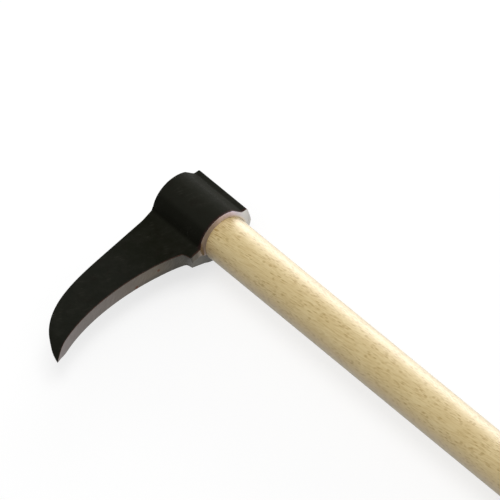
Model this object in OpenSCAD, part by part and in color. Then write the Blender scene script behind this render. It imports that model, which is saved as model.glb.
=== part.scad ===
// Pickaroon: a forged spike head with a round eye, wedged on a straight round handle.
// The tool lies on its side. The origin is on the handle's axis, in the eye's ground
// lower face, where the handle leaves the eye. +X points the way the beak reaches,
// +Y runs along the handle to its free end and +Z is up. The plane Z = 0 halves the
// head, whose under side differs from its upper side in the grind on the eye's lower
// face and in a fuller flare between the eye and the beak.

/* [Handle] */
// Overall length of the handle, with its tenon
handle_length = 914; // [450:1:1200]
// Diameter of the round handle, and of the bore in the eye
handle_d = 38; // [32:0.5:44]
// Radius that rounds the edge of the handle's free end
butt_round = 6; // [1:0.5:12]

/* [Tenon and wedges] */
// Length of tenon that stands out of the eye's top
tenon_proud = 3; // [0:0.5:8]
// Gap between the tenon and the eye, all round
tenon_clearance = 0.2; // [0.05:0.05:0.4]
// Depth of the kerf for the wooden wedge, from the tenon's end
kerf_depth = 42; // [28:1:46]
// Thickness of the wooden wedge at its driven end
wood_wedge_back = 6; // [4:0.5:9]
// Thickness of the wooden wedge at its leading edge
wood_wedge_front = 1.5; // [0.5:0.25:3]
// Width of a steel wedge, across the wooden one
steel_wedge_width = 20; // [12:0.5:24]
// Length of a steel wedge, from its driven end to its leading edge
steel_wedge_length = 25; // [14:1:26]
// Thickness of a steel wedge at its driven end
steel_wedge_back = 3.2; // [2:0.1:4.5]
// Thickness of a steel wedge at its leading edge
steel_wedge_front = 0.6; // [0.3:0.1:1.5]
// Distance between the two steel wedges, centre to centre
steel_wedge_spacing = 16; // [8:0.5:18]

/* [Eye] */
// Length of the eye, along the handle
eye_length = 59.2; // [48:0.1:75]
// Thickness of the eye's wall
eye_wall = 6; // [4:0.5:9]
// Bevel that breaks both rims of the bore
rim_bevel = 0.6; // [0.3:0.1:1.5]
// Angle on the eye's round where the flare to the beak's upper flank starts
flare_upper = 21; // [18:0.5:45]
// Angle on the eye's round where the flare to the beak's under flank starts
flare_under = 42; // [18:0.5:45]
// Distance from the handle's axis to where both flares meet the flanks
flare_reach = 35.5; // [33:0.5:48]
// Slope of the grind that takes back the under side of the eye's lower face, in degrees
grind_angle = 21.5; // [5:0.5:35]
// Depth of the grind's edge under the handle's axis
grind_drop = 0.4; // [0:0.1:4]
// Turn of the grind's edge away from the beak's direction, in degrees
grind_turn = 6.5; // [0:0.5:10]

/* [Poll] */
// Width of the squared pad at the eye's back
poll_width = 30; // [20:0.5:36]
// How far the middle of the pad stands behind the round of the eye
poll_stand = 0.3; // [0:0.1:4]
// Rise of the pad's crowned face from its edges to its middle
poll_crown = 1.5; // [0.5:0.1:3]
// Angle from the beak's direction round to where the eye runs out into its shoulder flats
shoulder_angle = 116; // [108:0.5:122]
// Distance from the middle of the pad's face to the foot of the shoulder flats
shoulder_inset = 6.6; // [6:0.1:8]

/* [Beak] */
// Thickness of the beak at its root, from its upper to its under flank
root_thick = 13; // [9:0.5:16]
// Thickness of the beak where its point starts
point_thick = 12; // [8:0.5:16]
// Distance from the handle's axis to the tip
beak_reach = 171.2; // [150:0.1:210]
// How far the tip hangs past the eye's lower face
tip_hang = 8; // [0:0.1:20]
// Length over which the beak thins to its tip
point_length = 11.1; // [8:0.1:25]
// How far the back starts below the eye's top end
back_step = 1.2; // [0.4:0.1:4]
// Distance from the handle's axis to the end of the back's straight stretch
back_straight = 73; // [55:0.5:85]
// How far the back falls over its straight stretch
back_fall = 6.9; // [2:0.1:12]
// Length of the pull on the back's curve where it leaves the straight stretch
back_pull_root = 40.7; // [30:0.1:60]
// Length of the pull on the back's curve at the tip
back_pull_tip = 51.1; // [30:0.1:60]
// Slope of the back at the tip, in degrees
back_tip_angle = 74.2; // [60:0.1:85]
// Distance from the handle's axis to the corner of the heel
heel_reach = 35.3; // [33:0.1:40]
// How far the heel hangs past the eye's lower face
heel_hang = 2.2; // [0:0.1:4]
// Distance from the handle's axis to the end of the heel's step
throat_reach = 37.6; // [35:0.1:45]
// Height of the heel's step, from the eye's lower face up to the beak's underside
throat_step = 5.7; // [2:0.1:10]
// Slope of the underside where it leaves the heel, in degrees
under_root_angle = 20.9; // [5:0.1:35]
// Length of the pull on the underside's curve at the heel
under_pull_root = 33.5; // [15:0.1:40]
// Length of the pull on the underside's curve at the tip
under_pull_tip = 45.9; // [30:0.1:65]
// Slope of the underside at the tip, in degrees
under_tip_angle = 35.2; // [20:0.1:45]

/* [Hidden] */

// Number of straight steps in each curve of the beak's outline
curve_steps = 24;
// Small overlap that lets joined and cut shapes pass through each other
through = 1;
$fn = 96;

handle_r = handle_d / 2;
collar_r = handle_r + eye_wall;
tenon_r = handle_r - tenon_clearance;
tenon_length = eye_length + tenon_proud;
grip_length = handle_length - tenon_length;

poll_back = collar_r + poll_stand;
// Radius of the arc that rises by poll_crown over the width of the pad
crown_r = (pow(poll_width / 2, 2) + pow(poll_crown, 2)) / (2 * poll_crown);

// Where the heel starts to rise, in the middle of the eye's wall
heel_start = handle_r + eye_wall / 2;
// Where the beak starts to thin to its point
point_start = beak_reach - point_length;
// How far the lowest of the heel and the tip hangs past the eye's lower face
deepest_hang = max(tip_hang, heel_hang);

back_root = [collar_r, back_step - eye_length];
back_knuckle = [back_straight, back_step + back_fall - eye_length];
heel = [heel_reach, heel_hang];
throat = [throat_reach, -throat_step];
tip = [beak_reach, tip_hang];

function direction(angle) = [cos(angle), sin(angle)];

function bezier(a, b, c, d) = [
    for (i = [0 : curve_steps])
        let (t = i / curve_steps, s = 1 - t)
            s * s * s * a + 3 * s * s * t * b + 3 * s * t * t * c + t * t * t * d
];

// A point list without its last point, which the next stretch starts with
function but_last(points) = [for (i = [0 : len(points) - 2]) points[i]];

// The back, from the end of its straight stretch round to the tip
function back_curve() =
    let (run = back_knuckle - back_root)
        bezier(
            back_knuckle,
            back_knuckle + back_pull_root * run / norm(run),
            tip - back_pull_tip * direction(back_tip_angle),
            tip
        );

// The underside, from the tip back to the heel's step
function under_curve() =
    bezier(
        tip,
        tip - under_pull_tip * direction(under_tip_angle),
        throat + under_pull_root * direction(-under_root_angle),
        throat
    );

// The rounded step from the underside up to the corner of the heel
function heel_curve() =
    bezier(
        throat,
        throat - (throat_reach - heel_reach) * direction(-under_root_angle) / 2,
        heel - [0, throat_step / 2],
        heel
    );

// Side outline of the beak, with its heel, back to the middle of the eye
function beak_side() = concat(
    [[collar_r, heel_hang], [heel_start, 0], [0, 0]],
    [[0, -eye_length], [collar_r - back_step, -eye_length], back_root],
    but_last(back_curve()),
    but_last(under_curve()),
    heel_curve()
);

// Plan outline of the beak, seen along the handle, with both flares on the eye's round
function beak_plan() = [
    [0, 0],
    collar_r * direction(-flare_under),
    [flare_reach, -root_thick / 2],
    [point_start, -point_thick / 2],
    [beak_reach, 0],
    [point_start, point_thick / 2],
    [flare_reach, root_thick / 2],
    collar_r * direction(flare_upper),
];

// Turns a shape drawn across the handle, with its thickness along +Z, so that the
// thickness runs from the eye's lower face towards its top
module across_handle() {
    rotate([90, 0, 0]) children();
}

// Turns a shape that stands on Z = 0 so that it runs along the handle
module along_handle() {
    rotate([-90, 0, 0]) children();
}

// The squared pad at the eye's back, with its crowned face
module poll_pad() {
    intersection() {
        translate([-poll_back, -poll_width / 2]) square([poll_back, poll_width]);
        translate([crown_r - poll_back, 0]) circle(r = crown_r);
    }
}

// What is cut away outside the shoulder flat, between the round of the eye and the pad
module shoulder_cut() {
    clear = 2 * collar_r;
    flat_start = collar_r * direction(shoulder_angle);
    flat_foot = [shoulder_inset - poll_back, poll_width / 2];
    polygon([flat_start, flat_foot, [-clear, flat_foot.y], [-clear, clear], [flat_start.x, clear]]);
}

// The eye's outline, seen along the handle
module eye_outline() {
    difference() {
        union() {
            circle(r = collar_r);
            poll_pad();
        }
        for (side = [0, 1]) mirror([0, side]) shoulder_cut();
    }
}

// The spike: what lies inside both its side outline and its plan outline
module beak() {
    intersection() {
        translate([0, 0, -collar_r]) linear_extrude(2 * collar_r) polygon(beak_side());
        across_handle()
            translate([0, 0, -deepest_hang - through])
                linear_extrude(eye_length + deepest_hang + 2 * through)
                    polygon(beak_plan());
    }
}

// The bore with both of its rims bevelled
module eye_bore() {
    across_handle() {
        translate([0, 0, -through]) cylinder(h = eye_length + 2 * through, r = handle_r);
        translate([0, 0, -through])
            cylinder(h = rim_bevel + through, r1 = handle_r + rim_bevel + through, r2 = handle_r);
        translate([0, 0, eye_length - rim_bevel])
            cylinder(h = rim_bevel + through, r1 = handle_r, r2 = handle_r + rim_bevel + through);
    }
}

// A wedge that runs in from the tenon's end. Its outline lies in the plane of X = 0
module wedge(width, length, back, front) {
    translate([-width / 2, -tenon_length, 0])
        rotate([90, 0, 90])
            linear_extrude(width)
                polygon([[0, -back / 2], [length, -front / 2], [length, front / 2], [0, back / 2]]);
}

module wood_wedge_blank() {
    wedge(2 * tenon_r, kerf_depth, wood_wedge_back, wood_wedge_front);
}

module steel_wedge_pair() {
    for (side = [-1, 1])
        translate([side * steel_wedge_spacing / 2, 0, 0])
            rotate([0, 90, 0])
                wedge(steel_wedge_width, steel_wedge_length, steel_wedge_back, steel_wedge_front);
}

module tenon() {
    translate([0, -tenon_length, 0]) along_handle() cylinder(h = tenon_length, r = tenon_r);
}

// What the slanting grind takes off the under side of the eye's lower face and the heel
module lower_grind() {
    reach = 2 * collar_r;
    translate([0, 0, -grind_drop])
        rotate([0, grind_turn, 0])
            rotate([-grind_angle, 0, 0])
                translate([-reach, 0, -reach])
                    cube([2 * reach, reach, 2 * reach]);
}

module head() {
    color("#2b2a27")
        difference() {
            union() {
                across_handle() linear_extrude(eye_length) eye_outline();
                beak();
            }
            eye_bore();
            lower_grind();
        }
}

module handle() {
    color("#e0cfa4")
        difference() {
            union() {
                tenon();
                along_handle() cylinder(h = grip_length - butt_round, r = handle_r);
                translate([0, grip_length - butt_round, 0]) along_handle() butt();
            }
            wood_wedge_blank();
            steel_wedge_pair();
        }
}

// The handle's free end, a disc with a quarter round on its edge
module butt() {
    rotate_extrude() {
        square([handle_r - butt_round, butt_round]);
        translate([handle_r - butt_round, 0])
            intersection() {
                circle(r = butt_round);
                square(butt_round);
            }
    }
}

module wood_wedge() {
    color("#b98f5c")
        difference() {
            intersection() {
                wood_wedge_blank();
                tenon();
            }
            steel_wedge_pair();
        }
}

module steel_wedges() {
    color("#85888c") steel_wedge_pair();
}

head();
handle();
wood_wedge();
steel_wedges();
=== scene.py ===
# %% [markdown]
# # A pickaroon
#
# A pickaroon is a logger's hand tool: a long curved spike on a round eye, wedged on a straight
# round stick. It lies on its side here, as it does on a bench. This script builds what the eye
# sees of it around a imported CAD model, piece by piece, as surfaces worked out with numpy.
#
# The frame is the CAD's. The origin is on the handle's axis, in the eye's lower face. +X is the
# way the spike reaches, +Y runs along the handle to its free end and +Z is up.

# %% Load the CAD frame
import bpy
import bmesh
import numpy as np
from mathutils import Matrix, Vector


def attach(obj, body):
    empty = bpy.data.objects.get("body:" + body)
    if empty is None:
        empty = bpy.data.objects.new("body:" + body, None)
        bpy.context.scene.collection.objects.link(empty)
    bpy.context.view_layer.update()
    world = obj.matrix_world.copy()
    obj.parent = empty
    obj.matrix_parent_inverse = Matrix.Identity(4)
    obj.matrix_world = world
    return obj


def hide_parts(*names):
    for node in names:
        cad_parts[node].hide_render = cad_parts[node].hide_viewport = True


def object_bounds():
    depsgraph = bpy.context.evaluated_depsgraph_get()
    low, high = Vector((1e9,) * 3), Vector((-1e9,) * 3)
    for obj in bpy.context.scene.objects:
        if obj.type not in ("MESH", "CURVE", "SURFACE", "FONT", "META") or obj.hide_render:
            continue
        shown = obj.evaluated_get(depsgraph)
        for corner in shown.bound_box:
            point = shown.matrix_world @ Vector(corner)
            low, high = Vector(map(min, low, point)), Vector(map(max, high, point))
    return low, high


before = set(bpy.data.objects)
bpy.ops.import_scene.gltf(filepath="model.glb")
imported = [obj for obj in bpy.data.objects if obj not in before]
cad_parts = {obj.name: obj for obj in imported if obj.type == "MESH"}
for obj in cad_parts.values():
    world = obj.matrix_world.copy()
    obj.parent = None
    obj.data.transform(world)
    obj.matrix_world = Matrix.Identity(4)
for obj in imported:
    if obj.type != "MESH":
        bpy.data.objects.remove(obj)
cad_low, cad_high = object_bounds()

MM = 0.001
print("CAD nodes:", sorted(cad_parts))
print("CAD box in mm:", [round(v / MM, 1) for v in (*cad_low, *cad_high)])

# %% [markdown]
# ## The head's measures
#
# The head is one forging. Two drawings describe it: its plan, seen along the handle, and its
# side, seen from above. They could be modelled as a box with many cuts, but a smith's drawing
# is simpler: the solid is what lies inside both outlines at once. Lengths are in mm and angles
# in degrees, and all are the CAD's own.

# %% Measures of the head
HANDLE_R = 19.0
COLLAR_R = 25.0
EYE_LENGTH = 59.2
TIP = np.array([171.2, 8.0])
print("the head is", round(TIP[0] + COLLAR_R, 1), "mm across, its eye", EYE_LENGTH, "mm long")


# %% [markdown]
# ## Drawing an outline
#
# An outline is a run of points a fiftieth of a millimetre apart. Straight legs, arcs and
# Bezier curves are joined end to end. A corner is then softened by averaging the points over a
# short run: on a straight leg this changes nothing, and at a corner it leaves a smooth curve
# about as long as the run. That is quicker than solving for each tangent arc.

# %% Drawing lines and curves
OUTLINE_STEP = 0.02


def direction(degrees):
    """The unit vector at an angle: its cosine and its sine."""
    return np.array([np.cos(np.radians(degrees)), np.sin(np.radians(degrees))])


def arc(centre, radius, start, end, count=400):
    """Points centre + radius (cos a, sin a), with a running evenly from start to end degrees."""
    angle = np.radians(np.linspace(start, end, count))
    return np.asarray(centre) + radius * np.stack([np.cos(angle), np.sin(angle)], axis=1)


def bezier(a, b, c, d, count=600):
    """Cubic Bezier curve: the four points mixed with the weights s^3, 3s^2t, 3st^2 and t^3."""
    t = np.linspace(0, 1, count)[:, None]
    s = 1 - t
    return s**3 * a + 3 * s**2 * t * b + 3 * s * t**2 * c + t**3 * d


quarter_turn = arc((0, 0), COLLAR_R, 0, 90)
print("a quarter of the eye's round runs from", quarter_turn[0], "to", quarter_turn[-1].round(3))


# %% Measuring, spacing and softening a run
def lengths_along(points):
    """Distance of each point from the first, measured along the run."""
    steps = np.linalg.norm(np.diff(points, axis=0), axis=1)
    return np.concatenate([[0.0], np.cumsum(steps)])


def even_run(points, step=OUTLINE_STEP):
    """The same run with its points spaced evenly by about the given step."""
    along = lengths_along(points)
    keep = np.concatenate([[True], np.diff(along) > 1e-9])
    along = along[keep]
    points = points[keep]
    at = np.linspace(0, along[-1], int(along[-1] / step) + 1)
    return np.stack([np.interp(at, along, column) for column in points.T], axis=1)


def softened(points, corners, least=0.4):
    """Each point becomes the mean of the run round it. corners are rows of (x, y, run): near that
    place the averaged run is that long, and elsewhere it is the least run."""
    along = lengths_along(points)
    width = np.full(len(along), least)
    for x, y, run in corners:
        near = along[np.argmin(np.hypot(points[:, 0] - x, points[:, 1] - y))]
        width = np.where(np.abs(along - near) < run, run, width)
    width = np.maximum(np.minimum(width, 2 * np.minimum(along, along[-1] - along)), 1e-4)
    middle = (points[1:] + points[:-1]) / 2 * np.diff(along)[:, None]
    total = np.concatenate([np.zeros((1, 2)), np.cumsum(middle, axis=0)])
    ends = [np.clip(along + sign * width / 2, 0, along[-1]) for sign in (-1, 1)]
    low, high = (np.stack([np.interp(e, along, t) for t in total.T], axis=1) for e in ends)
    return (high - low) / (ends[1] - ends[0])[:, None]


def left_normals(points):
    """Unit vectors square to the run, on its left hand as one walks along it."""
    run = np.gradient(points, axis=0)
    run /= np.linalg.norm(run, axis=1)[:, None]
    return np.stack([-run[:, 1], run[:, 0]], axis=1)


print("that quarter is", lengths_along(quarter_turn)[-1].round(2), "mm long")

# %% [markdown]
# ## The plan, seen along the handle
#
# From the middle of the poll's crowned face the outline runs round one corner of the pad, down
# the crease at its foot, up the flat shoulder, over the round of the eye and down a flare to the
# spike's flank. The point is thinned like a chisel. The far half is the same drawing turned
# over, but its flare starts further down the round, so it is fuller.

# %% Measures of the plan
ROOT_HALF = 6.5
POINT_HALF = 6.0
POINT_START = 160.1
POLL_BACK = 25.3
POLL_HALF = 15.0
CROWN_R = 75.75
SHOULDER_FOOT = -18.5
SHOULDER_ANGLE = 116.0
NEAR_FLARE = 21.0
FAR_FLARE = 42.0
FLARE_REACH = 35.5
# The poll's middle lies in this much of the outline
POLL_RUN = 40.0
crown_middle = CROWN_R - POLL_BACK
crown_turn = np.degrees(np.arcsin(POLL_HALF / CROWN_R))
pad_corner = crown_middle - np.sqrt(CROWN_R**2 - POLL_HALF**2)
shoulder_top = COLLAR_R * direction(SHOULDER_ANGLE)
print("the flat shoulder starts at", shoulder_top.round(2))


# %% The plan outline, columns x and z
def plan_outline(flare_start):
    """Half the plan, from the poll's middle to the tip: its points, the normals on its left and the
    length walked. The flare starts at that angle on the eye's round."""
    run = np.concatenate([
        arc((crown_middle, 0), CROWN_R, 180 + crown_turn, 180 - crown_turn),
        [[pad_corner, POLL_HALF], [SHOULDER_FOOT, POLL_HALF]],
        arc((0, 0), COLLAR_R, SHOULDER_ANGLE, flare_start, 800),
        [[FLARE_REACH, ROOT_HALF], [POINT_START, POINT_HALF]],
        [[TIP[0], 0.0], [POINT_START, -POINT_HALF]],
    ])
    run = softened(even_run(run), [
        (pad_corner, POLL_HALF, 2.4),
        (SHOULDER_FOOT, POLL_HALF, 2.6),
        (*shoulder_top, 3.0),
        (*COLLAR_R * direction(flare_start), 3.0),
        (FLARE_REACH, ROOT_HALF, 4.0),
        (POINT_START, POINT_HALF, 9.0),
        (TIP[0], 0.0, 1.4),
    ])
    normal = left_normals(run)
    first = int(np.argmin(np.abs(run[:int(POLL_RUN / OUTLINE_STEP), 1])))
    last = int(np.argmax(run[:, 0]))
    run, normal = run[first:last + 1], normal[first:last + 1]
    return run, normal, lengths_along(run)


near_plan = plan_outline(NEAR_FLARE)
far_plan = plan_outline(FAR_FLARE)
print("plan outline:", len(near_plan[0]), "points, to x", near_plan[0][-1, 0].round(2))

# %% [markdown]
# ## The side, seen from above
#
# The lower edge starts on the eye's ground face, steps out over the heel, drops into the throat
# and follows the hollow of the spike to its tip. The back runs straight from the eye's top end
# and then bends down to the same tip. Past the poll the side is left long, because the plan
# ends it there.

# %% Corners and curves of the side
PAST_POLL = -32.0
BACK_STEP = 1.2
KNUCKLE = np.array([73.0, -51.1])
HEEL_START = np.array([22.0, 0.0])
HEEL_RISE = np.array([25.0, 2.2])
HEEL = np.array([35.3, 2.2])
THROAT = np.array([37.6, -5.7])
# Directions of the curves at their ends
UNDER_ROOT = direction(-20.9)
UNDER_TIP = direction(35.2)
BACK_TIP = direction(74.2)
# How far each end pulls its curve that way
UNDER_ROOT_PULL = 33.5
UNDER_TIP_PULL = 45.9
BACK_ROOT_PULL = 40.7
BACK_TIP_PULL = 51.1
under = bezier(TIP, TIP - UNDER_TIP_PULL * UNDER_TIP, THROAT + UNDER_ROOT_PULL * UNDER_ROOT, THROAT)
step_pull = (THROAT[0] - HEEL[0]) / 2
step = bezier(THROAT, THROAT - step_pull * UNDER_ROOT, HEEL + [0, THROAT[1] / 2], HEEL)
back_foot = np.array([COLLAR_R - BACK_STEP, -EYE_LENGTH])
back_root = np.array([COLLAR_R, BACK_STEP - EYE_LENGTH])
run = (KNUCKLE - back_root) / np.linalg.norm(KNUCKLE - back_root)
back = bezier(KNUCKLE, KNUCKLE + BACK_ROOT_PULL * run, TIP - BACK_TIP_PULL * BACK_TIP, TIP)
print("the underside's curve is", lengths_along(under)[-1].round(1), "mm long")

# %% The side outline, columns x and y
side = np.concatenate([
    [[PAST_POLL, 0.0], HEEL_START, HEEL_RISE],
    step[::-1],
    under[::-1],
    back[::-1],
    [back_root, back_foot, [PAST_POLL, -EYE_LENGTH]],
])
side = softened(even_run(side), [
    (*HEEL_START, 1.6),
    (*HEEL_RISE, 1.6),
    (*HEEL, 1.6),
    (*TIP, 1.2),
    (*back_root, 3.0),
    (*back_foot, 2.0),
])
side_normal = left_normals(side)
turn = int(np.argmax(side[:, 0] + side[:, 1]))
face, face_normal = side[:turn + 1], side_normal[:turn + 1]
rear, rear_normal = side[:turn - 1:-1], side_normal[:turn - 1:-1]
print("side outline:", len(side), "points, tip at", side[turn].round(2))


# %% [markdown]
# ## A ball rolled along the edges
#
# No forged edge is sharp. An edge between two walls is rounded by rolling a ball inside the
# solid so that it touches both. Its middle lies one radius inside both outlines, so the side's
# outline is first moved in by that radius: at each x the nearest the ball's middle can come is
# the least of Y - sqrt(r^2 - (x - X)^2) over the outline's points (X, Y).

# %% The ball's middle and where it touches the side
# Radius of each rounded edge, first in the eye and heel and then on the spike
NEAR_EDGE = (0.3, 0.3)
FAR_EDGE = (0.5, 0.8)
BACK_EDGE = (0.6, 0.6)


def ball_touch(x, radius, outline, normal, sense):
    """For each x and radius, finds the outline point that stops the ball, and returns the touching
    points and the outline's normals there. sense is +1 for the lower face and -1 for the back."""
    rest = radius[:, None] ** 2 - (x[:, None] - outline[:, 0]) ** 2
    height = sense * outline[:, 1] - np.sqrt(np.maximum(rest, 0))
    best = np.argmin(np.where(rest >= 0, height, np.inf), axis=1)
    return outline[best], normal[best]


def slerp(a, b, t):
    """Unit vectors turned evenly from a to b: sin((1-t)w) a / sin w + sin(t w) b / sin w, with w the
    angle between them."""
    dot = np.clip((a * b).sum(-1, keepdims=True), -1, 1)
    angle = np.maximum(np.arccos(dot), 1e-6)
    return (np.sin((1 - t) * angle) * a + np.sin(t * angle) * b) / np.sin(angle)


print("half way from +X to +Y:", slerp(np.array([1.0, 0.0]), np.array([0.0, 1.0]), 0.5).round(3))

# %% [markdown]
# ## Where the sections stand
#
# The head is a skin over some hundreds of sections, from the middle of the poll to the tip. In
# the eye they follow the plan. Along the flat flank the lower face and the back may be cut at
# different places, because any straight line between them stays in the flank, so each has its
# sections where its own curve turns: a radian of turning counts as a dozen millimetres.
#
# The heel is a little skewed: its far end lies behind its near end by HEEL_SLANT, which the
# CAD leaves out.

# %% Helpers for the places
HEEL_FROM = 14.0
FLANK_FROM = 40.0
FLANK_TO = 150.0
FLANK_COUNT = 190
FLANK_TURN = 12.0
EYE_TURN = 14.0
EYE_SPACING = 1.1


def stations(outline, normal, radius):
    """x of the sections on the flank, with their touching points evenly spread over the outline's
    turning and its length: the spread follows length + FLANK_TURN for each radian of turning."""
    inside = (outline[:, 0] > FLANK_FROM - radius) & (outline[:, 0] < FLANK_TO + radius)
    line, side_on = outline[inside], normal[inside]
    angle = np.unwrap(np.arctan2(side_on[:, 1], side_on[:, 0]))
    turned = np.concatenate([[0], np.cumsum(np.abs(np.diff(angle)))])
    spread = lengths_along(line) + FLANK_TURN * turned
    even = np.linspace(0, spread[-1], FLANK_COUNT)
    pick = np.interp(even, spread, np.arange(len(line))).astype(int)
    middle = line[pick, 0] - radius * side_on[pick, 0]
    return np.clip(np.maximum.accumulate(middle), FLANK_FROM, FLANK_TO)


def round_the_eye(points, normal, along):
    """Places along the plan up to where the heel begins, closer together where the plan turns."""
    inside = points[:, 0] <= HEEL_FROM
    angle = np.unwrap(np.arctan2(normal[inside, 1], normal[inside, 0]))
    spread = along[inside] + EYE_TURN * np.concatenate([[0], np.cumsum(np.abs(np.diff(angle)))])
    count = int(spread[-1] / EYE_SPACING) + 2
    return np.interp(np.linspace(0, spread[-1], count), spread, along[inside])


def smooth_change(x, low, high, start, end):
    """low before start, high after end, and an S-curve between: t t (3 - 2t)."""
    t = np.clip((x - start) / (end - start), 0, 1)
    return low + (high - low) * t * t * (3 - 2 * t)


print("an S-curve a quarter of the way along:", smooth_change(0.25, 0, 1, 0, 1))

# %% The places of the sections
HEEL_SLANT = 2.3
SLANT_FULL = 27.0
SLANT_FADE = (42.0, 62.0)
HEEL_COUNT = 90
POINT_COUNT = 60
POINT_CROWDING = 1.4


def slant(x):
    """How far the heel's far end lies behind its near end: nothing in the eye and on the flank."""
    share = smooth_change(x, 0, 1, HEEL_FROM, SLANT_FULL) - smooth_change(x, 0, 1, *SLANT_FADE)
    return HEEL_SLANT * share


eye_part = round_the_eye(*near_plan)[:-1]
heel_x = np.linspace(HEEL_FROM, FLANK_FROM, HEEL_COUNT)[:-1]
point_share = (1 - (1 - np.linspace(0, 1, POINT_COUNT)) ** POINT_CROWDING)[1:-1]
point_x = FLANK_TO + (near_plan[0][-1, 0] - FLANK_TO) * point_share
face_x = np.concatenate([heel_x, stations(face, face_normal, NEAR_EDGE[1]), point_x])
rear_x = np.concatenate([heel_x, stations(rear, rear_normal, BACK_EDGE[1]), point_x])
print("sections:", len(eye_part) + len(face_x), "of which", len(eye_part), "round the eye")


# %% [markdown]
# ## The head's skin
#
# Each section is a closed loop: upper wall, near edge, lower face, far edge, under wall, far
# edge, back, near edge. The walls are straight lines between the edges and the edges are the
# ball's arcs. The near edge of the ground face is crisp, the others are softer, and all fade
# toward the point.

# %% One edge, and the straight walls between two
EDGE_STEPS = 6
FACE_ROWS = 10
WALL_ROWS = 12
SPIKE_EDGE_FROM = (38.0, 50.0)
# Near the tip an edge's radius is at most these shares of the way left and of half the thickness
TIP_SHARE = 0.12
HALF_SHARE = 0.9
LEAST_RADIUS = 0.02


def half_loop(plan, x, outline, normal, sense, radius):
    """One edge for every section: the ball's arc from the plan's wall, at angle 0, to the side's wall.
    The plan point p with normal n gives the ball's middle p - r n, and the arc is middle + r slerp.
    radius is two numbers, the first for the eye and heel and the second for the spike."""
    points, walls, along = plan
    at = np.concatenate([eye_part, np.interp(x, points[:, 0], along)])
    p = np.stack([np.interp(at, along, c) for c in points.T], axis=1)
    n = np.stack([np.interp(at, along, c) for c in walls.T], axis=1)
    n /= np.linalg.norm(n, axis=1)[:, None]
    radius = smooth_change(p[:, 0], *radius, *SPIKE_EDGE_FROM)
    radius = np.minimum(radius, TIP_SHARE * (points[-1, 0] - p[:, 0]) + LEAST_RADIUS)
    radius = np.minimum(radius, HALF_SHARE * p[:, 1] + LEAST_RADIUS)
    contact, m = ball_touch(p[:, 0] - radius * n[:, 0], radius, outline, normal, sense)
    middle = np.stack([p[:, 0] - radius * n[:, 0], contact[:, 1] - radius * m[:, 1],
                       p[:, 1] - radius * n[:, 1]], axis=1)
    wall = np.stack([n[:, 0], 0 * n[:, 0], n[:, 1]], axis=1)
    face_on = np.stack([m[:, 0], m[:, 1], 0 * m[:, 0]], axis=1)
    t = np.linspace(0, 1, EDGE_STEPS)[None, :, None]
    return middle[:, None] + radius[:, None, None] * slerp(wall[:, None], face_on[:, None], t)


def bridge(a, b, count):
    """Rows of points that divide the straight line from a to b, without its two ends. They stand
    close to the ends, at (1 - cos) / 2 of the way, so that the shading of a flat wall stays flat."""
    t = (1 - np.cos(np.pi * np.linspace(0, 1, count + 2)[1:-1])) / 2
    return a[:, None] + (b - a)[:, None] * t[None, :, None]


row = bridge(np.zeros((1, 3)), np.ones((1, 3)), WALL_ROWS)
print("a wall is divided at", row[0, :, 0].round(2))

# %% The four edges
far_side = face - np.stack([slant(face[:, 0]), 0 * face[:, 0]], axis=1)
far_x = face_x - slant(face_x)
flip = np.array([1.0, 1.0, -1.0])
near_face = half_loop(near_plan, face_x, face, face_normal, 1, NEAR_EDGE)
far_face = half_loop(far_plan, far_x, far_side, face_normal, 1, FAR_EDGE) * flip
near_rear = half_loop(near_plan, rear_x, rear, rear_normal, -1, BACK_EDGE)
far_rear = half_loop(far_plan, rear_x, rear, rear_normal, -1, BACK_EDGE) * flip
print("each edge:", near_face.shape[0], "arcs of", near_face.shape[1], "points")

# %% The skin as a grid of sections
loop = np.concatenate([
    near_face,
    bridge(near_face[:, -1], far_face[:, -1], FACE_ROWS),
    far_face[:, ::-1],
    bridge(far_face[:, 0], far_rear[:, 0], WALL_ROWS),
    far_rear,
    bridge(far_rear[:, -1], near_rear[:, -1], FACE_ROWS),
    near_rear[:, ::-1],
    bridge(near_rear[:, 0], near_face[:, 0], WALL_ROWS),
], axis=1)
tip_point = np.array([side[turn, 0], side[turn, 1], 0.0])
loop = np.concatenate([loop, np.broadcast_to(tip_point, (1, *loop.shape[1:]))])
print("head skin:", loop.shape[0], "sections of", loop.shape[1], "points")


# %% [markdown]
# ## From a grid to a mesh
#
# A grid of points becomes a mesh when each point is joined to its neighbours in four-sided
# faces. Here the columns close on themselves, like the staves of a barrel. Where a whole row
# falls on one point, the doubled points are merged, which leaves neat triangles.

# %% From points to an object
def grid_faces(rows, columns):
    """Four corners of each face: row i and i+1, column j and j+1, the last column joined to the
    first."""
    i = np.arange(rows - 1)[:, None]
    j = np.arange(columns)[None, :]
    k = (j + 1) % columns
    corners = (i * columns + j, i * columns + k, (i + 1) * columns + k, (i + 1) * columns + j)
    return np.stack(corners, axis=-1).reshape(-1, 4)


def mesh_object(name, points, faces, materials=(), slots=None):
    """Makes an object from points in mm and rows of corners, merges doubled points, closes what is
    left open and turns the faces outwards."""
    mesh = bpy.data.meshes.new(name)
    mesh.from_pydata((np.asarray(points).reshape(-1, 3) * MM).tolist(), [], faces.tolist())
    for material in materials:
        mesh.materials.append(material)
    if slots is not None:
        mesh.polygons.foreach_set("material_index", np.asarray(slots, dtype=np.int32))
    work = bmesh.new()
    work.from_mesh(mesh)
    bmesh.ops.remove_doubles(work, verts=work.verts, dist=2e-6)
    bmesh.ops.dissolve_degenerate(work, edges=work.edges, dist=1e-6)
    bmesh.ops.holes_fill(work, edges=[e for e in work.edges if e.is_boundary], sides=0)
    bmesh.ops.recalc_face_normals(work, faces=work.faces)
    work.to_mesh(mesh)
    work.free()
    made = bpy.data.objects.new(name, mesh)
    bpy.context.scene.collection.objects.link(made)
    return made


print("a closed grid of 3 rows of 4 points has", len(grid_faces(3, 4)), "faces")


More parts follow.
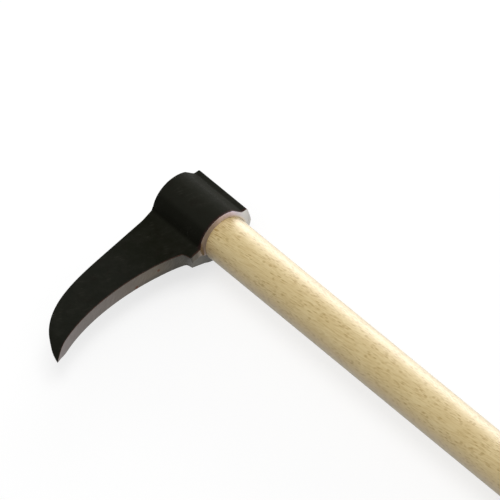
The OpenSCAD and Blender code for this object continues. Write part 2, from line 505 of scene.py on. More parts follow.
# %% Turning, cutting, shading and reporting
def lathe(name, profile, turns, materials=(), slots=None):
    """A turned piece: each profile point (radius, y) goes once round the Y axis in that many steps,
    to radius (cos a, sin a) in x and z. A radius of 0 closes an end."""
    profile = np.asarray(profile, dtype=float)
    angle = np.linspace(0, 2 * np.pi, turns, endpoint=False)
    x = profile[:, :1] * np.cos(angle)
    z = profile[:, :1] * np.sin(angle)
    y = np.broadcast_to(profile[:, 1:], x.shape)
    faces = grid_faces(len(profile), turns)
    rows = None if slots is None else np.repeat(slots, turns)
    return mesh_object(name, np.stack([x, y, z], axis=-1), faces, materials, rows)


def cut(piece, tool):
    """Takes the tool's shape out of the piece for good, and removes the tool."""
    step = piece.modifiers.new("cut", "BOOLEAN")
    step.object = tool
    step.operation = "DIFFERENCE"
    step.solver = "MANIFOLD"
    graph = bpy.context.evaluated_depsgraph_get()
    result = bpy.data.meshes.new_from_object(piece.evaluated_get(graph))
    piece.modifiers.clear()
    piece.data = result
    bpy.data.objects.remove(tool)


def finish_shading(piece, degrees=32):
    """Smooth shading that breaks at edges sharper than the angle, with the larger faces deciding the
    direction at a shared corner, so that flat walls look flat."""
    piece.data.shade_smooth()
    piece.data.set_sharp_from_angle(angle=np.radians(degrees))
    weigh = piece.modifiers.new("weigh normals", "WEIGHTED_NORMAL")
    weigh.keep_sharp = True


def report_mesh(piece):
    """Prints how many faces a piece has, its size in mm, and whether its skin is closed."""
    work = bmesh.new()
    work.from_mesh(piece.data)
    open_edges = sum(not e.is_manifold for e in work.edges)
    volume = work.calc_volume() / MM**3
    work.free()
    size = [round(v / MM, 1) for v in piece.dimensions]
    print(f"{piece.name}: {len(piece.data.polygons)} faces, {size} mm, {open_edges} open edges,"
          f" {volume / 1000:.1f} cm3")


print("a lathe shape of 4 rings in 48 steps has", len(grid_faces(4, 48)), "faces")

# %% [markdown]
# ## Recipes for the finishes
#
# A finish is a small network of nodes. Each network starts from the object's own coordinates,
# scaled to millimetres, so a grain or a scratch has its true size and stays in the stuff when
# the tool is turned. A small class keeps the recipes short: it adds nodes, fills their sockets
# and joins one node's output to the next.

# %% Node helpers
class Recipe:
    """A material being put together: adds nodes, and joins them by giving one as another's input."""

    def __init__(self, name):
        self.material = bpy.data.materials.new(name)
        self.material.use_nodes = True
        self.tree = self.material.node_tree
        self.shader = self.tree.nodes["Principled BSDF"]
        place = self.node("ShaderNodeTexCoord").outputs["Object"]
        self.mm = self.vector("MULTIPLY", place, (1000, 1000, 1000))

    def node(self, kind, settings=None, **inputs):
        """Adds a node, sets its options, and fills its sockets with numbers or links."""
        made = self.tree.nodes.new(kind)
        for key, value in (settings or {}).items():
            setattr(made, key, value)
        for key, value in inputs.items():
            self.feed(made.inputs[key.replace("_", " ")], value)
        return made

    def feed(self, socket, value):
        """Puts a number, a colour or another node's output into a socket."""
        if isinstance(value, bpy.types.NodeSocket):
            self.tree.links.new(value, socket)
        elif isinstance(value, tuple) and len(value) == 3 and socket.type == "RGBA":
            socket.default_value = (*value, 1)
        else:
            socket.default_value = value

    def two_inputs(self, kind, operation, a, b):
        """Adds an arithmetic node and fills its first two sockets."""
        made = self.node(kind, {"operation": operation})
        self.feed(made.inputs[0], a)
        self.feed(made.inputs[1], b)
        return made

    def vector(self, operation, a, b):
        """Arithmetic on two vectors that gives a vector."""
        return self.two_inputs("ShaderNodeVectorMath", operation, a, b).outputs["Vector"]

    def math(self, operation, a, b=0.0):
        """Arithmetic on two numbers."""
        return self.two_inputs("ShaderNodeMath", operation, a, b).outputs[0]

    def along(self, way):
        """How far the place lies along a direction, in mm: their dot product."""
        made = self.two_inputs("ShaderNodeVectorMath", "DOT_PRODUCT", self.mm, way)
        return made.outputs["Value"]

    def off_axis(self, place):
        """How far a place is from the Y axis: the length of its x and z."""
        flat = self.vector("MULTIPLY", place, (1, 0, 1))
        made = self.node("ShaderNodeVectorMath", {"operation": "LENGTH"}, Vector=flat)
        return made.outputs["Value"]

    def axes(self):
        """The place's x, y and z in mm."""
        return tuple(self.node("ShaderNodeSeparateXYZ", Vector=self.mm).outputs)

    def noise(self, place, scale, detail=2.0, roughness=0.5):
        """Soft random patches, as a number about 0.5. The patches are 1 / scale mm across."""
        made = self.node("ShaderNodeTexNoise", Vector=place, Scale=scale, Detail=detail,
                         Roughness=roughness)
        return made.outputs["Fac"]

    def spread(self, value, low, high, new_low=0.0, new_high=1.0):
        """A clamped straight ramp from the range low..high to the range new_low..new_high."""
        made = self.node("ShaderNodeMapRange", {"clamp": True}, Value=value, From_Min=low,
                         From_Max=high, To_Min=new_low, To_Max=new_high)
        return made.outputs[0]

    def mix(self, share, a, b):
        """Colour a, turned into colour b by the share."""
        made = self.node("ShaderNodeMix", {"data_type": "RGBA"})
        self.feed(made.inputs[0], share)
        self.feed(made.inputs[6], a)
        self.feed(made.inputs[7], b)
        return made.outputs[2]

    def bump(self, height, strength, distance, normal=None):
        """Shading relief: the height times the distance in metres, weakened by the strength."""
        made = self.node("ShaderNodeBump", Height=height, Strength=strength, Distance=distance)
        if normal is not None:
            self.feed(made.inputs["Normal"], normal)
        return made.outputs[0]

    def finish(self, colour, roughness, normal):
        """Joins the three to the shader, and returns the material."""
        for name, value in (("Base Color", colour), ("Roughness", roughness), ("Normal", normal)):
            self.feed(self.shader.inputs[name], value)
        return self.material


def linear(red, green, blue):
    """Blender's linear colour for a screen colour given as three numbers up to 255."""
    c = np.array([red, green, blue]) / 255
    return tuple(float(v) for v in np.where(c <= 0.04045, c / 12.92, ((c + 0.055) / 1.055) ** 2.4))


print("middle grey on the screen is", round(linear(128, 128, 128)[0], 3), "of white's light")

# %% [markdown]
# ## Black lacquer
#
# The forging is dipped or sprayed black over a skin that the hammer left slightly uneven. The
# colour is nearly flat, so the life is in small things: soft dents a few millimetres across, a
# fine orange peel, dull dusty patches and a few scuffs and brown rubs. Painted shade darkens the
# crease beside the eye, and the heat of grinding has browned the coat along the ring. The coat is
# matt, so its specular level is very low: at a glancing angle even a little gloss turns it grey.

# %% Material: black lacquer
def black_lacquer():
    """Dark dielectric with uneven gloss, two scales of relief and sparse rubs."""
    r = Recipe("black lacquer")
    dents = r.noise(r.mm, 0.16, 2.0, 0.5)
    peel = r.noise(r.mm, 1.3, 3.0, 0.6)
    dust = r.noise(r.mm, 0.07, 5.0, 0.65)
    stretched = r.vector("MULTIPLY", r.mm, (1.0, 0.35, 1.0))
    rub = r.spread(r.noise(stretched, 0.45, 6.0, 0.7), 0.70, 0.76)
    rub = r.math("MULTIPLY", rub, r.spread(r.noise(r.mm, 0.045, 1.0), 0.5, 0.62))
    x, y = r.axes()[:2]
    # The black is a little lighter toward the tip of the flank, and lighter again over the eye
    flank = r.mix(r.spread(x, 45, 85), (0.0088, 0.0094, 0.0054), (0.0125, 0.0133, 0.0098))
    ground = r.mix(r.spread(x, 34, 16), flank, (0.0165, 0.0170, 0.0126))
    ground = r.mix(r.spread(dust, 0.45, 0.75, 0.0, 0.55), ground, (0.0215, 0.0210, 0.0165))
    stain = r.noise(r.mm, 0.12, 3.0, 0.6)
    ground = r.mix(r.spread(stain, 0.55, 0.72, 0.0, 0.35), ground, (0.0115, 0.0082, 0.0060))
    radius = r.off_axis(r.mm)
    # Painted shade: the crease where the flank meets the eye's round is darkened, standing in for the
    # shade there
    crease_shade = r.math("MULTIPLY", r.spread(radius, 24.7, 25.2), r.spread(radius, 28.0, 25.6))
    crease_shade = r.math("MULTIPLY", crease_shade, r.spread(x, 14, 17, 0.0, 0.7))
    ground = r.mix(crease_shade, ground, (0.0035, 0.0035, 0.0020))
    heat = r.math("MULTIPLY", r.spread(y, -2.8, -0.6), r.spread(x, 27, 24, 0.0, 0.65))
    ground = r.mix(heat, ground, (0.034, 0.012, 0.013))
    lean = r.node("ShaderNodeVectorRotate", {"rotation_type": "Z_AXIS"}, Vector=r.mm, Angle=0.5)
    scuff = r.noise(r.vector("MULTIPLY", lean.outputs[0], (0.10, 1.6, 0.3)), 1.0, 3.0, 0.6)
    scuff = r.math("MULTIPLY", r.spread(scuff, 0.58, 0.70), r.spread(dust, 0.50, 0.60))
    ground = r.mix(r.math("MULTIPLY", scuff, 0.7), ground, (0.046, 0.045, 0.036))
    colour = r.mix(r.math("MULTIPLY", rub, 0.5), ground, (0.050, 0.028, 0.016))
    rough = r.spread(dust, 0.3, 0.75, 0.42, 0.60)
    rough = r.math("ADD", rough, r.math("MULTIPLY", rub, 0.2))
    r.shader.inputs["Specular IOR Level"].default_value = 0.008
    relief = r.bump(dents, 0.5, 0.0006)
    return r.finish(colour, rough, r.bump(peel, 0.22, 0.00012, relief))


lacquer = black_lacquer()
print("made", lacquer.name)

# %% [markdown]
# ## Ground steel
#
# The lower face is ground bare. A belt leaves fine parallel scratches and a grey that is never
# even. The tones along the head are partly that tint and partly painted reflection: bright on
# the poll, mauve and then brown over the ring, dark in the throat and a paler, faintly mauve
# grey toward the tip. Round the bore a painted highlight makes it paler, most of all toward the
# poll, and painted shade darkens the far half of the face from the heel along the spike. Metal
# is almost all reflection, so the scratches go into the roughness and the relief, and the tint
# into the base colour. The drift of the tone is a short list of tones along the head, each laid
# over the one before. It could be painted by hand on a texture, but a ramp along X is exact and
# stays sharp at any size.

# %% Material: ground steel
# Where along X, in mm, each tone starts to show, where it is full, and its colour. The tones are
# partly the steel's own tint and partly painted reflection
STEEL_TINTS_AND_REFLECTIONS = (
    (-20, -10, (0.71, 0.61, 0.73)),
    (0, 14, (0.36, 0.31, 0.32)),
    (18, 23, (0.42, 0.335, 0.27)),
    (24, 29, linear(100, 95, 86)),
    (32.5, 34.5, linear(66, 64, 58)),
    (42, 60, linear(98, 90, 79)),
    (60, 115, linear(112, 105, 101)),
    (130, 168, linear(124, 115, 114)),
)


def ground_steel():
    """Metal with scratches across it and small rust spots. Its tone drifts along the head, partly its
    own tint and partly painted reflection; round the bore is a painted highlight and on the far half
    painted shade.
    """
    r = Recipe("ground steel")
    x, _, z = r.axes()
    lean = r.node("ShaderNodeVectorRotate", {"rotation_type": "Y_AXIS"}, Vector=r.mm, Angle=0.6)
    lines = r.vector("MULTIPLY", lean.outputs[0], (3.2, 0.5, 0.16))
    scratch = r.noise(lines, 1.0, 4.0, 0.6)
    patch = r.noise(r.mm, 0.11, 4.0, 0.6)
    tone = linear(206, 204, 200)
    for start, end, colour in STEEL_TINTS_AND_REFLECTIONS:
        tone = r.mix(r.spread(x, start, end), tone, colour)
    # Painted shade: the far half of the lower face is darkened from the heel along the spike
    far_half_shade = r.math("MULTIPLY", r.spread(z, -1.5, -3.5), r.spread(x, 85, 60))
    far_half_shade = r.math("MULTIPLY", far_half_shade, r.spread(x, 30, 38, 0.0, 0.5))
    tone = r.mix(far_half_shade, tone, linear(56, 56, 51))
    # Painted highlight: the steel round the bore is made paler, most of all toward the poll
    round_bore = r.spread(r.off_axis(r.mm), 21.5, 19.6)
    bore_highlight = r.math("MULTIPLY", round_bore, r.spread(x, 8, -6, 0.1, 0.85))
    tone = r.mix(bore_highlight, tone, linear(224, 209, 181))
    tone = r.mix(r.spread(patch, 0.40, 0.75, 0.0, 0.30), tone, (0.10, 0.09, 0.075))
    tone = r.mix(r.spread(scratch, 0.35, 0.75, 0.0, 0.12), tone, (0.50, 0.48, 0.45))
    spots = r.node("ShaderNodeTexVoronoi", Scale=0.1, Randomness=1.0, Vector=r.mm)
    rust = r.spread(spots.outputs["Distance"], 0.18, 0.11)
    rust = r.math("MULTIPLY", rust, r.spread(x, 36, 46, 0.0, 0.8))
    tone = r.mix(r.math("MULTIPLY", rust, r.spread(x, 130, 90)), tone, (0.10, 0.035, 0.018))
    r.shader.inputs["Metallic"].default_value = 1.0
    return r.finish(tone, r.spread(scratch, 0.3, 0.8, 0.50, 0.34), r.bump(scratch, 0.35, 0.00005))


steel = ground_steel()
print(steel.name, "has", len(STEEL_TINTS_AND_REFLECTIONS), "tones after the first")

# %% [markdown]
# ## Two small finishes beside the steel
#
# The far half of the lower face was ground back at a slant with a coarser wheel, and left dull
# and dark; beside the handle it is darkened further with painted shadow of the handle. Along
# the near edge the lacquer is chipped and scorched to a thin brown line. Both could be painted
# into the two finishes above, but each lies on faces of its own, so a material for each keeps
# the recipes simple.

# %% Materials: dark grind and burnt edge
def dark_grind():
    """The steeper grind on the far half: coarser and dull, with painted shadow darkest beside the
    handle.
    """
    r = Recipe("dark grind")
    x = r.axes()[0]
    scratch = r.noise(r.vector("MULTIPLY", r.mm, (0.5, 2.0, 2.6)), 1.0, 4.0, 0.6)
    patch = r.noise(r.mm, 0.16, 3.0, 0.6)
    # Painted shadow: the grind is darkest beside the handle, where the handle's shadow falls
    tone = r.mix(r.spread(x, -18, -6), linear(204, 202, 196), linear(50, 48, 40))
    tone = r.mix(r.spread(x, 12, 26), tone, linear(84, 82, 74))
    tone = r.mix(r.spread(patch, 0.35, 0.7, 0.0, 0.3), tone, linear(104, 100, 90))
    tone = r.mix(r.spread(scratch, 0.4, 0.75, 0.0, 0.2), tone, linear(140, 134, 122))
    r.shader.inputs["Metallic"].default_value = 1.0
    return r.finish(tone, r.spread(scratch, 0.3, 0.8, 0.55, 0.40), r.bump(scratch, 0.4, 0.00006))


def burnt_edge():
    """The lacquer's edge along the grind: scorched and rusted brown where the coat has chipped."""
    r = Recipe("burnt edge")
    chip = r.noise(r.mm, 0.35, 4.0, 0.65)
    tone = r.mix(r.spread(chip, 0.38, 0.62), (0.012, 0.009, 0.006), (0.060, 0.024, 0.015))
    r.shader.inputs["Specular IOR Level"].default_value = 0.1
    return r.finish(tone, r.spread(chip, 0.3, 0.7, 0.5, 0.75), r.bump(chip, 0.4, 0.0002))


grind = dark_grind()
burnt = burnt_edge()
finishes = (lacquer, steel, grind, burnt)
print("finishes:", ", ".join(made.name for made in finishes))

# %% [markdown]
# ## Cutting the head
#
# The bore is turned, so a lathe shape cuts it, with both rims broken by a small bevel. The
# slanting grind on the far half of the lower face is a flat plane, and what stands beyond it is
# sliced off. The lower face and the bore get the ground steel, the sliced plane the dark grind,
# the near edge the burnt one, and all other faces, with the bevel at the eye's top, the lacquer.

# %% The head's skin as an object
# The columns start where the upper wall meets the near edge. Half of that edge's arc is burnt,
# and bare steel runs from its middle over the lower face to the middle of the far edge's arc
first_bare = EDGE_STEPS // 2
last_bare = EDGE_STEPS + FACE_ROWS + EDGE_STEPS // 2
slot_row = np.full(loop.shape[1], finishes.index(lacquer))
slot_row[first_bare:last_bare] = finishes.index(steel)
slot_row[:first_bare] = finishes.index(burnt)
slot_row[-1] = finishes.index(burnt)
slots = np.tile(slot_row, loop.shape[0] - 1)
head = mesh_object("head_forging", loop, grid_faces(*loop.shape[:2]), finishes, slots)
report_mesh(head)

# %% Slice off the slanting grind
GRIND_ANGLE = 21.5
GRIND_TURN = 6.5
GRIND_DROP = 0.4
grind_turned = Matrix.Rotation(np.radians(GRIND_TURN), 3, "Y")
grind_turned = grind_turned @ Matrix.Rotation(-np.radians(GRIND_ANGLE), 3, "X")
work = bmesh.new()
work.from_mesh(head.data)
sliced = bmesh.ops.bisect_plane(
    work,
    geom=work.verts[:] + work.edges[:] + work.faces[:],
    plane_co=(0, 0, -GRIND_DROP * MM),
    plane_no=grind_turned @ Vector((0, 1, 0)),
    clear_outer=True,
)
rim = [e for e in sliced["geom_cut"] if isinstance(e, bmesh.types.BMEdge)]
filled = bmesh.ops.contextual_create(work, geom=rim)
for made in filled["faces"]:
    made.material_index = finishes.index(grind)
work.to_mesh(head.data)
work.free()
report_mesh(head)

# %% Drill the bore
RIM_BEVEL = 0.6
MOUTH = 3.0
mouth_r = HANDLE_R + RIM_BEVEL + MOUTH
bore = [(0, 2 * MOUTH), (mouth_r, 2 * MOUTH), (mouth_r, MOUTH), (HANDLE_R, -RIM_BEVEL)]
bore += [(HANDLE_R, RIM_BEVEL - EYE_LENGTH), (mouth_r, -EYE_LENGTH - MOUTH)]
bore += [(mouth_r, -EYE_LENGTH - 2 * MOUTH), (0, -EYE_LENGTH - 2 * MOUTH)]
drill = lathe("drill", bore, 180, (lacquer, steel), [1, 1, 1, 1, 0, 0, 0])
report_mesh(drill)
cut(head, drill)
finish_shading(head)
report_mesh(head)

# %% [markdown]
# ## Beech
#
# The handle is turned from straight-grained beech. Three things make beech: pale growth rings a
# few millimetres apart that show as soft bands, small warm brown dashes of ray tissue lying
# along the grain, and a fine pore texture. All are solid patterns, cut by the surface, so the
# end grain shows the same rings. The dashes crowd where the rings lie along the surface, on
# the faces toward the pith and away from it. The face toward the pith is also the side turned
# down and away from the lamps, and it is darkened with painted shade. The grain leans a few
# degrees, as in any sawn stick. Raised fibres and a thin oil give the pale sheen toward the edges.

# %% Material: beech
# Kinds of dash: cells per mm across and along the grain, the share left out, and the strength
DASHES = (
    (0.90, 0.16, 0.62, 0.95),
    (1.50, 0.10, 0.50, 0.80),
    (0.30, 0.20, 0.64, 0.60),
)
DASH_FADE = 0.2
PITH = (46, 0, -38)
# The way toward the pith, which is also the side that the lamps leave in shade
PITHWARD_AND_SHADE_SIDE = (0.77, 0.0, -0.64)
RING_WIDTH = 2.9
LEAN_AXIS = (0.441, 0, 0.8975)
LEAN = -0.12


def beech(name, light, dark, dash_colour):
    """Solid wood pattern: rings about a pith line, dashes and pores stretched along Y."""
    r = Recipe(name)
    wander = r.vector("MULTIPLY", r.mm, (0.03, 0.004, 0.03))
    drift = r.node("ShaderNodeTexNoise", Vector=wander, Scale=1.0, Detail=2.0).outputs["Color"]
    drift = r.vector("MULTIPLY", r.vector("SUBTRACT", drift, (0.5, 0.5, 0.5)), (14, 0, 14))
    moved = r.vector("ADD", r.vector("SUBTRACT", r.mm, PITH), drift)
    ring = r.math("FRACT", r.math("DIVIDE", r.off_axis(moved), RING_WIDTH))
    late = r.spread(ring, 0.45, 0.97)
    late = r.math("MULTIPLY", late, r.spread(ring, 1.0, 0.95))
    lean = r.node("ShaderNodeVectorRotate", {"rotation_type": "AXIS_ANGLE"}, Vector=r.mm,
                  Axis=LEAN_AXIS, Angle=LEAN).outputs[0]
    fibre = r.noise(r.vector("MULTIPLY", lean, (1.9, 0.075, 1.9)), 1.0, 4.0, 0.6)
    pore = r.noise(r.vector("MULTIPLY", lean, (6.0, 0.6, 6.0)), 1.0, 2.0, 0.5)
    cloud = r.noise(r.vector("MULTIPLY", lean, (0.11, 0.035, 0.11)), 1.0, 3.0, 0.5)
    crowd = r.noise(r.vector("MULTIPLY", lean, (0.16, 0.03, 0.16)), 1.0, 2.0, 0.5)
    toward = r.along(PITHWARD_AND_SHADE_SIDE)
    facing = r.math("ABSOLUTE", toward)
    colour = r.mix(r.math("MULTIPLY", late, 0.22), light, dark)
    colour = r.mix(r.spread(cloud, 0.40, 0.70, 0.0, 0.40), colour, dark)
    colour = r.mix(r.spread(fibre, 0.48, 0.64, 0.0, 0.75), colour, dark)
    colour = r.mix(r.spread(pore, 0.55, 0.80, 0.0, 0.35), colour, dark)
    # Painted shade: the side turned down and away from the lamps is darkened
    colour = r.mix(r.spread(toward, 5.0, 15.0, 0.0, 0.8), colour, dark)
    line = r.noise(r.vector("MULTIPLY", lean, (3.0, 0.055, 3.0)), 1.0, 2.0, 0.5)
    colour = r.mix(r.spread(line, 0.60, 0.70, 0.0, 0.55), colour, dash_colour)
    for across, along, rare, share in DASHES:
        cells = r.node("ShaderNodeTexVoronoi", Scale=1.0, Randomness=1.0,
                       Vector=r.vector("MULTIPLY", lean, (across, along, across)))
        dash = r.spread(cells.outputs["Distance"], 0.44, 0.20)
        chosen = r.node("ShaderNodeSeparateColor", Color=cells.outputs["Color"]).outputs[0]
        chosen = r.math("ADD", chosen, r.spread(crowd, 0.3, 0.7, -0.3, 0.3))
        chosen = r.math("ADD", chosen, r.spread(facing, 2.0, 14.0, -0.12, 0.14))
        dash = r.math("MULTIPLY", dash, r.spread(chosen, rare, rare + DASH_FADE, 0.0, share))
        colour = r.mix(dash, colour, dash_colour)
    r.shader.inputs["Specular IOR Level"].default_value = 1.0
    r.shader.inputs["Sheen Weight"].default_value = 0.8
    for name in ("Sheen Roughness", "Coat Weight", "Coat Roughness"):
        r.shader.inputs[name].default_value = 0.5
    relief = r.bump(fibre, 0.15, 0.0001, r.bump(pore, 0.12, 0.00006))
    return r.finish(colour, r.spread(fibre, 0.3, 0.8, 0.48, 0.60), relief)


handle_wood = beech("beech", (0.79, 0.613, 0.275), (0.60, 0.415, 0.122), (0.42, 0.245, 0.012))
wedge_wood = beech("wedge wood", (0.50, 0.33, 0.16), (0.33, 0.19, 0.08), (0.20, 0.10, 0.04))
print("made", handle_wood.name, "and", wedge_wood.name)

# %% [markdown]
# ## The handle
#
# The stick is turned: one profile carried round the axis. It has a tenon that fills the eye and
# stands a little out of its top, the long straight grip, and a rounded free end. At the eye's
# lower rim the driven wood is pressed up a little, 0.3 mm, and fills the rim's bevel.

# %% Build the handle
TENON_R = 18.8
TENON_END = -62.2
GRIP_END = 851.8
BUTT = 6.0
END_RING = 9.0
# The tenon's worn edge: how far in from its side, and how far from its end
TENON_EDGE = ((0.9, 0.0), (0.6, 0.06), (0.2, 0.3), (0.0, 0.7))
# The wood pressed up at the rim: how far it stands out, and where along the handle
PRESSED = ((0.0, -1.0), (0.0, -0.55), (0.30, -0.20), (0.32, 0.10), (0.0, 0.90))
quarter = np.linspace(0, np.pi / 2, 12)
butt = [(HANDLE_R - BUTT + BUTT * np.cos(a), GRIP_END - BUTT + BUTT * np.sin(a)) for a in quarter]
stick = [(0, TENON_END), (END_RING, TENON_END)]
stick += [(TENON_R - inset, TENON_END + depth) for inset, depth in TENON_EDGE]
stick += [(TENON_R, -1.2)]
stick += [(HANDLE_R + height, y) for height, y in PRESSED]
stick += [(HANDLE_R, float(y)) for y in np.linspace(20, GRIP_END - BUTT - 8, 40)]
stick += butt + [(END_RING, GRIP_END), (0, GRIP_END)]
handle = lathe("turned_handle", stick, 160, (handle_wood,))
print("handle:", len(stick), "rings from", TENON_END, "to", GRIP_END, "mm")


# %% [markdown]
# ## The wedges
#
# A wooden wedge spreads the tenon along its kerf, and two steel wedges across it lock it. Each
# is a rounded rectangle carried along the handle while its thickness falls, with its driven end
# closed by the same outline drawn in. The kerf and the slots are the same wedges, a hair larger.

# %% A wedge as rounded sections
AROUND = 72
ROUNDNESS = 0.18


def wedge(name, width, length, thick, thin, material, centre=0.0, upright=False, grow=0.0):
    """Rounded-rectangle sections. The outline of a section is (sign cos) |cos a|^q W/2 across and
    (sign sin) |sin a|^q T/2 through, with q the roundness; T falls evenly from thick to thin, and
    the first and last sections are drawn in, 0.35 mm to their edge and then to their middle."""
    angle = np.linspace(0, 2 * np.pi, AROUND, endpoint=False)
    across = np.sign(np.cos(angle)) * np.abs(np.cos(angle)) ** ROUNDNESS
    through = np.sign(np.sin(angle)) * np.abs(np.sin(angle)) ** ROUNDNESS
    share = np.concatenate([[0, 0, 0, 0.004], np.linspace(0.02, 0.98, 12), [0.996, 1, 1, 1]])
    inset = np.concatenate([[9, 0.6, 0.35, 0.1], np.zeros(12), [0.1, 0.3, 0.6, 9]])
    depth = (thick + (thin - thick) * share) / 2 + grow
    half_w = np.maximum(width / 2 + grow - inset, 0.45 * (inset < 9) * width)
    half_t = np.maximum(depth - inset, 0.25 * depth * (inset < 9))
    u = half_w[:, None] * across
    v = half_t[:, None] * through
    y = np.broadcast_to((TENON_END - grow + share * (length + grow))[:, None], u.shape)
    x, z = (v + centre, u) if upright else (u, v)
    points = np.stack([x, y, z], axis=-1)
    return mesh_object(name, points, grid_faces(len(share), AROUND), (material,))


WOOD = dict(width=2 * TENON_R, length=42, thick=6, thin=1.5, material=wedge_wood)
wooden = wedge("wooden_wedge", **WOOD)
report_mesh(wooden)


# %% Material: wedge steel
def steel_for_wedges():
    """Bright rolled steel with hammer marks, rusted a little at the edges."""
    r = Recipe("wedge steel")
    marks = r.noise(r.mm, 0.9, 3.0, 0.6)
    rust = r.noise(r.mm, 0.35, 5.0, 0.7)
    tone = r.mix(r.spread(marks, 0.3, 0.7), (0.30, 0.30, 0.31), (0.46, 0.46, 0.47))
    tone = r.mix(r.spread(rust, 0.55, 0.72, 0.0, 0.7), tone, (0.16, 0.08, 0.045))
    r.shader.inputs["Metallic"].default_value = 1.0
    return r.finish(tone, r.spread(rust, 0.4, 0.75, 0.38, 0.7), r.bump(marks, 0.5, 0.0002))


wedge_steel = steel_for_wedges()
print("made", wedge_steel.name)

# %% Cut the kerf and the slots, and drive the wedges
STEEL = dict(width=20, length=25, thick=3.2, thin=0.6, material=wedge_steel, upright=True)
STEEL_PLACES = (-8, 8)
KERF_WIDTH = 60
HAIR = 0.03
cut(handle, wedge("kerf", **{**WOOD, "width": KERF_WIDTH}, grow=HAIR))
for place in STEEL_PLACES:
    cut(handle, wedge("slot", **STEEL, centre=place, grow=HAIR))
    cut(wooden, wedge("slot", **STEEL, centre=place, grow=HAIR))
steels = [wedge(f"steel_wedge_{n}", **STEEL, centre=c) for n, c in enumerate(STEEL_PLACES, 1)]
for piece in (handle, wooden, *steels):
    finish_shading(piece)
    report_mesh(piece)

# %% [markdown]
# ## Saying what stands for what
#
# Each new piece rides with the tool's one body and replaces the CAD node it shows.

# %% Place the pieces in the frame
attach(head, "root")
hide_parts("head")
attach(handle, "root")
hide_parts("handle")
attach(wooden, "root")
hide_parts("wood_wedge")
for piece in steels:
    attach(piece, "root")
    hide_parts("steel_wedges")
print("placed:", ", ".join(piece.name for piece in (head, handle, wooden, *steels)))

# %% [markdown]
# ## The camera
#
# The tool was photographed from far off, so its sides stay parallel. A long lens far away does
# the same: 1500 mm on a 36 mm sensor, at the distance where the picture is 381 mm across.

# %% Camera
RIGHT = Vector((-0.772886, 0.619777, -0.135621))
UP = Vector((-0.526927, -0.507992, 0.681315))
BACK = RIGHT.cross(UP)
LENS = 1500
SENSOR = 36
PICTURE_WIDTH = 0.3806
AIM_RIGHT = 0.01836
AIM_DOWN = 0.00862
distance = PICTURE_WIDTH * LENS / SENSOR
camera_data = bpy.data.cameras.new("camera")
camera_data.lens = LENS
camera_data.sensor_width = SENSOR
camera_data.clip_start = 1
camera_data.clip_end = 60
camera = bpy.data.objects.new("camera", camera_data)
aim = RIGHT * AIM_RIGHT - UP * AIM_DOWN
turned = Matrix((RIGHT, UP, BACK)).transposed().to_4x4()
camera.matrix_world = Matrix.Translation(aim + BACK * distance) @ turned
bpy.context.scene.collection.objects.link(camera)
bpy.context.scene.camera = camera
print("camera at", [round(v, 2) for v in camera.location])

# %% [markdown]
# ## Floor and light
#
# The floor is a wide pale sheet under the lowest point of the tool. What the camera, mirrors
# and glass see of it is lifted to white, while its shadow stays. A wide soft lamp hangs
# overhead, and a broad low one stands behind the poll like the bright backdrop of a product
# picture: it catches the upper edge of the handle. The world gives an even, plain level.

# %% Floor
FLOOR_REACH = 60.0
floor_z = cad_low[2]
corners = [(x * FLOOR_REACH, y * FLOOR_REACH, floor_z) for x, y in ((-1, -1), (1, -1), (1, 1), (-1, 1))]
floor_mesh = bpy.data.meshes.new("floor")
floor_mesh.from_pydata(corners, [], [(0, 1, 2, 3)])
floor = bpy.data.objects.new("floor", floor_mesh)
bpy.context.scene.collection.objects.link(floor)
print("floor at", round(floor_z / MM, 2), "mm")


# %% The floor's material
FLOOR_GREY = 0.35
FLOOR_GLOW = 0.72


def seen_directly(tree):
    """1 where a camera, glossy or transmission ray looks, 0 for light that bounces softly."""
    path = tree.nodes.new("ShaderNodeLightPath")
    total = path.outputs["Is Camera Ray"]
    for other in ("Is Glossy Ray", "Is Transmission Ray"):
        add = tree.nodes.new("ShaderNodeMath")
        add.operation = "ADD"
        add.use_clamp = True
        tree.links.new(total, add.inputs[0])
        tree.links.new(path.outputs[other], add.inputs[1])
        total = add.outputs[0]
    return total


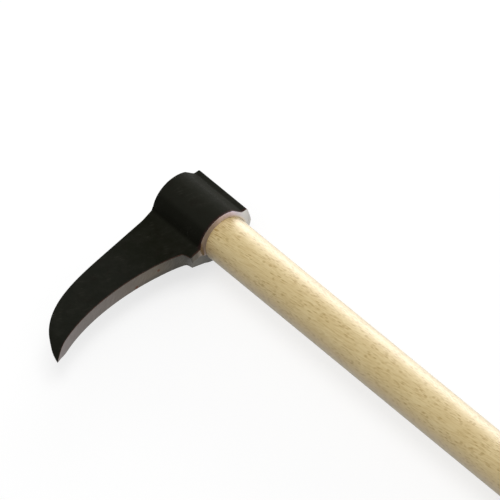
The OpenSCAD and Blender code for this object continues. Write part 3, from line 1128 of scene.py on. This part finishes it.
paper = bpy.data.materials.new("pale floor")
paper.use_nodes = True
tree = paper.node_tree
tree.nodes.remove(tree.nodes["Principled BSDF"])
matte = tree.nodes.new("ShaderNodeBsdfDiffuse")
matte.inputs["Color"].default_value = (FLOOR_GREY, FLOOR_GREY, FLOOR_GREY, 1)
glow = tree.nodes.new("ShaderNodeEmission")
lift = tree.nodes.new("ShaderNodeMath")
lift.operation = "MULTIPLY"
lift.inputs[1].default_value = FLOOR_GLOW
tree.links.new(seen_directly(tree), lift.inputs[0])
tree.links.new(lift.outputs[0], glow.inputs["Strength"])
both = tree.nodes.new("ShaderNodeAddShader")
tree.links.new(matte.outputs[0], both.inputs[0])
tree.links.new(glow.outputs[0], both.inputs[1])
tree.links.new(both.outputs[0], tree.nodes["Material Output"].inputs["Surface"])
floor_mesh.materials.append(paper)
print(paper.name, "glows", FLOOR_GLOW, "where it is looked at")

# %% World
WORLD_LEVEL = 0.42
world = bpy.data.worlds.new("world")
bpy.context.scene.world = world
world.use_nodes = True
tree = world.node_tree
level = tree.nodes.new("ShaderNodeMapRange")
tree.links.new(seen_directly(tree), level.inputs["Value"])
level.inputs["To Min"].default_value = WORLD_LEVEL
level.inputs["To Max"].default_value = 1.0
tree.nodes["Background"].inputs["Color"].default_value = (1, 1, 1, 1)
tree.links.new(level.outputs[0], tree.nodes["Background"].inputs["Strength"])
print("the world lights the tool at", WORLD_LEVEL, "and looks white itself")

# %% Lamps
LAMP_DISTANCE = 2.2
LIT_PLACE = Vector((0.05, 0.1, 0))


def soft_lamp(name, toward, width, height, watts):
    """A rectangular lamp that stands off the tool in a direction and faces it."""
    data = bpy.data.lights.new(name, "AREA")
    data.shape = "RECTANGLE"
    data.size = width
    data.size_y = height
    data.energy = watts
    lamp = bpy.data.objects.new(name, data)
    toward = Vector(toward).normalized()
    lamp.location = toward * LAMP_DISTANCE + LIT_PLACE
    lamp.rotation_mode = "QUATERNION"
    lamp.rotation_quaternion = toward.to_track_quat("Z", "Y")
    lamp.visible_camera = False
    bpy.context.scene.collection.objects.link(lamp)
    print(f"{name}: {width} by {height} m, {watts} W")


soft_lamp("overhead", (-0.12, 0.06, 1.0), 1.6, 1.6, 18)
soft_lamp("behind", (-0.78, -0.59, 0.15), 1.9, 0.68, 38)
bpy.context.scene.view_settings.view_transform = "Standard"
